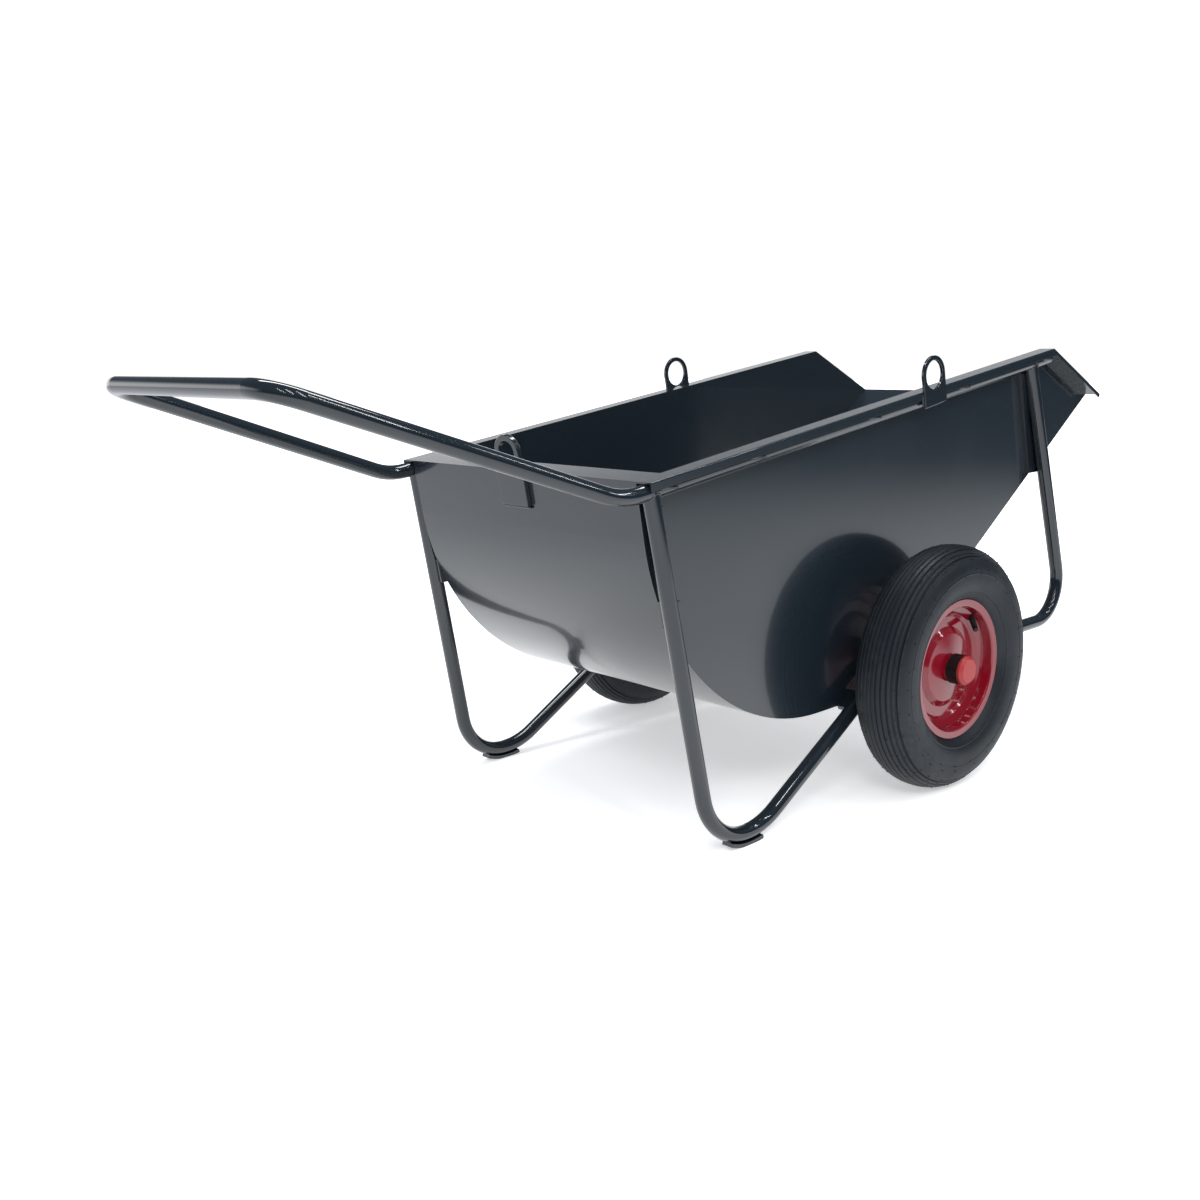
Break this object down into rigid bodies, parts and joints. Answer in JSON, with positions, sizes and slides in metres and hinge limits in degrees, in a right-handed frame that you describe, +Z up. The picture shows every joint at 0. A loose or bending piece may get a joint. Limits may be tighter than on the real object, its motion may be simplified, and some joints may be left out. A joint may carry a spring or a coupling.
{
  "type": "tipping wheelbarrow",
  "caption": "Two-wheeled tipping barrow with a deep steel tub, a tubular side frame and handle bow, and welded eyes for lifting it by crane.",
  "frame": {"origin": "on the ground, midway along and midway across the barrow", "axes": "+X towards the pouring lip, +Y to the left of a user at the handle, +Z up"},
  "size_m": [1.727, 0.803, 0.709],
  "materials": {
    "tub_paint": "glossy anthracite powder coat",
    "frame_paint": "glossy anthracite powder coat",
    "eye_paint": "glossy anthracite powder coat",
    "weld_paint": "powder coated weld bead",
    "rim_paint": "glossy ruby red",
    "tyre_rubber": "matte black tread rubber",
    "tube_rubber": "smooth black rubber",
    "valve_rubber": "black rubber",
    "bush_plastic": "black nylon",
    "cap_plastic": "red press-fit cap",
    "axle_steel": "zinc plated"
  },
  "bodies": {
    "barrow": {"tub_wrapper_sheet": "tub_paint", "rail_and_handle_bow": "frame_paint", "rear_lifting_eye": "eye_paint", "rear_eye_weld": "weld_paint", "tub_side_plate_left": "tub_paint", "tub_side_plate_right": "tub_paint", "side_frame_tube_left": "frame_paint", "side_frame_tube_right": "frame_paint", "foot_wear_plate_left": "frame_paint", "foot_wear_plate_right": "frame_paint", "side_lifting_eye_left": "eye_paint", "side_lifting_eye_right": "eye_paint", "rear_leg_upper_bracket_left": "frame_paint", "rear_leg_upper_bracket_right": "frame_paint", "rear_leg_lower_bracket_left": "frame_paint", "rear_leg_lower_bracket_right": "frame_paint", "belly_bracket_left": "frame_paint", "belly_bracket_right": "frame_paint", "front_leg_pad_left": "frame_paint", "front_leg_pad_right": "frame_paint", "rail_stitch_welds_left": "weld_paint", "rail_stitch_welds_right": "weld_paint", "axle_plate_left": "frame_paint", "axle_plate_right": "frame_paint", "axle_stub_left": "axle_steel", "axle_stub_right": "axle_steel", "axle_washer_left": "axle_steel", "axle_washer_right": "axle_steel", "axle_clip_left": "axle_steel", "axle_clip_right": "axle_steel"},
    "left_wheel": {"hub_tube_left": "rim_paint", "hub_outer_bush_left": "bush_plastic", "hub_inner_bush_left": "bush_plastic", "hub_cap_left": "cap_plastic", "rim_outer_half_left": "rim_paint", "rim_inner_half_left": "rim_paint", "tyre_left": "tyre_rubber", "inner_tube_left": "tube_rubber", "valve_stem_left": "valve_rubber"},
    "right_wheel": {"hub_tube_right": "rim_paint", "hub_outer_bush_right": "bush_plastic", "hub_inner_bush_right": "bush_plastic", "hub_cap_right": "cap_plastic", "rim_outer_half_right": "rim_paint", "rim_inner_half_right": "rim_paint", "tyre_right": "tyre_rubber", "inner_tube_right": "tube_rubber", "valve_stem_right": "valve_rubber"}
  },
  "joints": [
    {"name": "left_wheel_spin", "type": "hinge", "parent": "barrow", "child": "left_wheel", "pos_m": [0.2465, 0.3525, 0.2], "axis": [0, 1, 0], "continuous": true},
    {"name": "right_wheel_spin", "type": "hinge", "parent": "barrow", "child": "right_wheel", "pos_m": [0.2465, -0.3525, 0.2], "axis": [0, 1, 0], "continuous": true}
  ]
}
